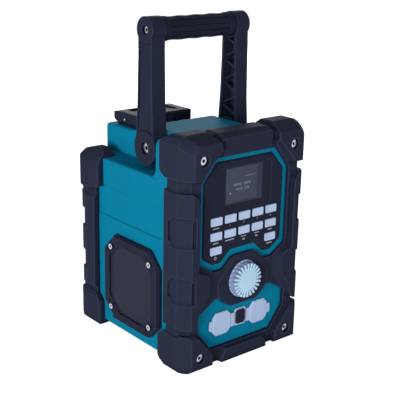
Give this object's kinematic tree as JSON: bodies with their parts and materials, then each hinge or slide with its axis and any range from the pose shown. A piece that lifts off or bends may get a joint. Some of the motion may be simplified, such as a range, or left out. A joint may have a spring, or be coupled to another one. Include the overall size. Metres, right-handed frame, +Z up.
{
  "type": "jobsite radio",
  "caption": "Battery jobsite radio with rubber corner bumpers, side speakers, a control panel and a folding carrying handle.",
  "frame": {"origin": "on the ground under the middle of the body, at the bottom centre of its box", "axes": "+X to the right of someone facing the front, +Y from the front to the back, +Z up"},
  "size_m": [0.166, 0.1915, 0.3483],
  "materials": {
    "teal_abs": "moulded, fine texture",
    "bumper_rubber": "moulded, satin",
    "black_abs": "moulded, satin",
    "grip_rubber": "moulded, soft",
    "display_window": "clear, smoked",
    "display": "glass face",
    "grey_plastic": "moulded, fine texture",
    "grey_rubber": "moulded, soft",
    "grille_steel": "perforated, powder coated",
    "speaker": "painted basket and paper cone",
    "circuit_board": "solder mask",
    "black_nylon": "moulded",
    "bright_steel": "zinc plated"
  },
  "bodies": {
    "housing": {"front_housing": "teal_abs", "rear_housing": "teal_abs", "front_bumper": "bumper_rubber", "rear_bumper": "bumper_rubber", "control_panel": "black_abs", "speaker_frame_left": "black_abs", "speaker_frame_right": "black_abs", "port_clamp": "black_abs", "display_lens": "display_window", "display_module": "display", "port_strap": "grey_rubber", "speaker_grille_left": "grille_steel", "speaker_grille_right": "grille_steel", "speaker_driver_left": "speaker", "speaker_driver_right": "speaker", "key_board": "circuit_board", "main_board": "circuit_board", "encoder": "circuit_board", "aux_socket": "black_nylon", "battery_terminals": "black_nylon", "usb_socket": "bright_steel", "speaker_screws": "bright_steel", "front_screws": "bright_steel", "rear_screws": "bright_steel", "pivot_bolts": "bright_steel", "pivot_washers": "bright_steel"},
    "button_1": {"button_1": "grey_plastic"},
    "button_2": {"button_2": "grey_plastic"},
    "button_3": {"button_3": "grey_plastic"},
    "button_4": {"button_4": "grey_plastic"},
    "button_5": {"button_5": "grey_plastic"},
    "button_6": {"button_6": "grey_plastic"},
    "button_7": {"button_7": "grey_plastic"},
    "button_8": {"button_8": "grey_plastic"},
    "button_9": {"button_9": "grey_plastic"},
    "button_10": {"button_10": "grey_plastic"},
    "button_11": {"button_11": "grey_plastic"},
    "button_12": {"button_12": "grey_plastic"},
    "knob": {"volume_knob": "grey_plastic", "encoder_shaft": "bright_steel"},
    "cover_left": {"port_cover_left": "grey_rubber"},
    "cover_right": {"port_cover_right": "grey_rubber"},
    "handle": {"handle_arm_left": "black_abs", "handle_arm_right": "black_abs", "handle_grip": "grip_rubber", "handle_screws": "bright_steel"},
    "battery": {"battery_case": "black_abs", "battery_head": "black_abs", "head_pins": "bright_steel"},
    "release": {"battery_latch": "black_abs"}
  },
  "joints": [
    {"name": "button_1_press", "type": "slide", "parent": "housing", "child": "button_1", "axis": [0, 1, 0], "range_m": [0, 0.001], "stiffness_N_per_m": 800},
    {"name": "button_2_press", "type": "slide", "parent": "housing", "child": "button_2", "axis": [0, 1, 0], "range_m": [0, 0.001], "stiffness_N_per_m": 800},
    {"name": "button_3_press", "type": "slide", "parent": "housing", "child": "button_3", "axis": [0, 1, 0], "range_m": [0, 0.001], "stiffness_N_per_m": 800},
    {"name": "button_4_press", "type": "slide", "parent": "housing", "child": "button_4", "axis": [0, 1, 0], "range_m": [0, 0.001], "stiffness_N_per_m": 800},
    {"name": "button_5_press", "type": "slide", "parent": "housing", "child": "button_5", "axis": [0, 1, 0], "range_m": [0, 0.001], "stiffness_N_per_m": 800},
    {"name": "button_6_press", "type": "slide", "parent": "housing", "child": "button_6", "axis": [0, 1, 0], "range_m": [0, 0.001], "stiffness_N_per_m": 800},
    {"name": "button_7_press", "type": "slide", "parent": "housing", "child": "button_7", "axis": [0, 1, 0], "range_m": [0, 0.001], "stiffness_N_per_m": 800},
    {"name": "button_8_press", "type": "slide", "parent": "housing", "child": "button_8", "axis": [0, 1, 0], "range_m": [0, 0.001], "stiffness_N_per_m": 800},
    {"name": "button_9_press", "type": "slide", "parent": "housing", "child": "button_9", "axis": [0, 1, 0], "range_m": [0, 0.001], "stiffness_N_per_m": 800},
    {"name": "button_10_press", "type": "slide", "parent": "housing", "child": "button_10", "axis": [0, 1, 0], "range_m": [0, 0.001], "stiffness_N_per_m": 800},
    {"name": "button_11_press", "type": "slide", "parent": "housing", "child": "button_11", "axis": [0, 1, 0], "range_m": [0, 0.001], "stiffness_N_per_m": 800},
    {"name": "button_12_press", "type": "slide", "parent": "housing", "child": "button_12", "axis": [0, 1, 0], "range_m": [0, 0.001], "stiffness_N_per_m": 800},
    {"name": "volume_turn", "type": "hinge", "parent": "housing", "child": "knob", "pos_m": [0, -0.088, 0.085], "axis": [0, -1, 0], "continuous": true},
    {"name": "port_cover_left_open", "type": "hinge", "parent": "housing", "child": "cover_left", "pos_m": [-0.009, -0.0855, 0.0402], "axis": [0, 0, 1], "range_deg": [0, 95], "stiffness_Nm_per_rad": 0.02},
    {"name": "port_cover_right_open", "type": "hinge", "parent": "housing", "child": "cover_right", "pos_m": [0.009, -0.0855, 0.0402], "axis": [0, 0, -1], "range_deg": [0, 95], "stiffness_Nm_per_rad": 0.02},
    {"name": "handle_fold", "type": "hinge", "parent": "housing", "child": "handle", "pos_m": [0, -0.0025, 0.2155], "axis": [-1, 0, 0], "range_deg": [0, 90]},
    {"name": "battery_slide", "type": "slide", "parent": "housing", "child": "battery", "axis": [0, 0, 1], "range_m": [0, 0.1]},
    {"name": "battery_release", "type": "slide", "parent": "battery", "child": "release", "axis": [0, 1, 0], "range_m": [0, 0.0025], "stiffness_N_per_m": 800}
  ]
}
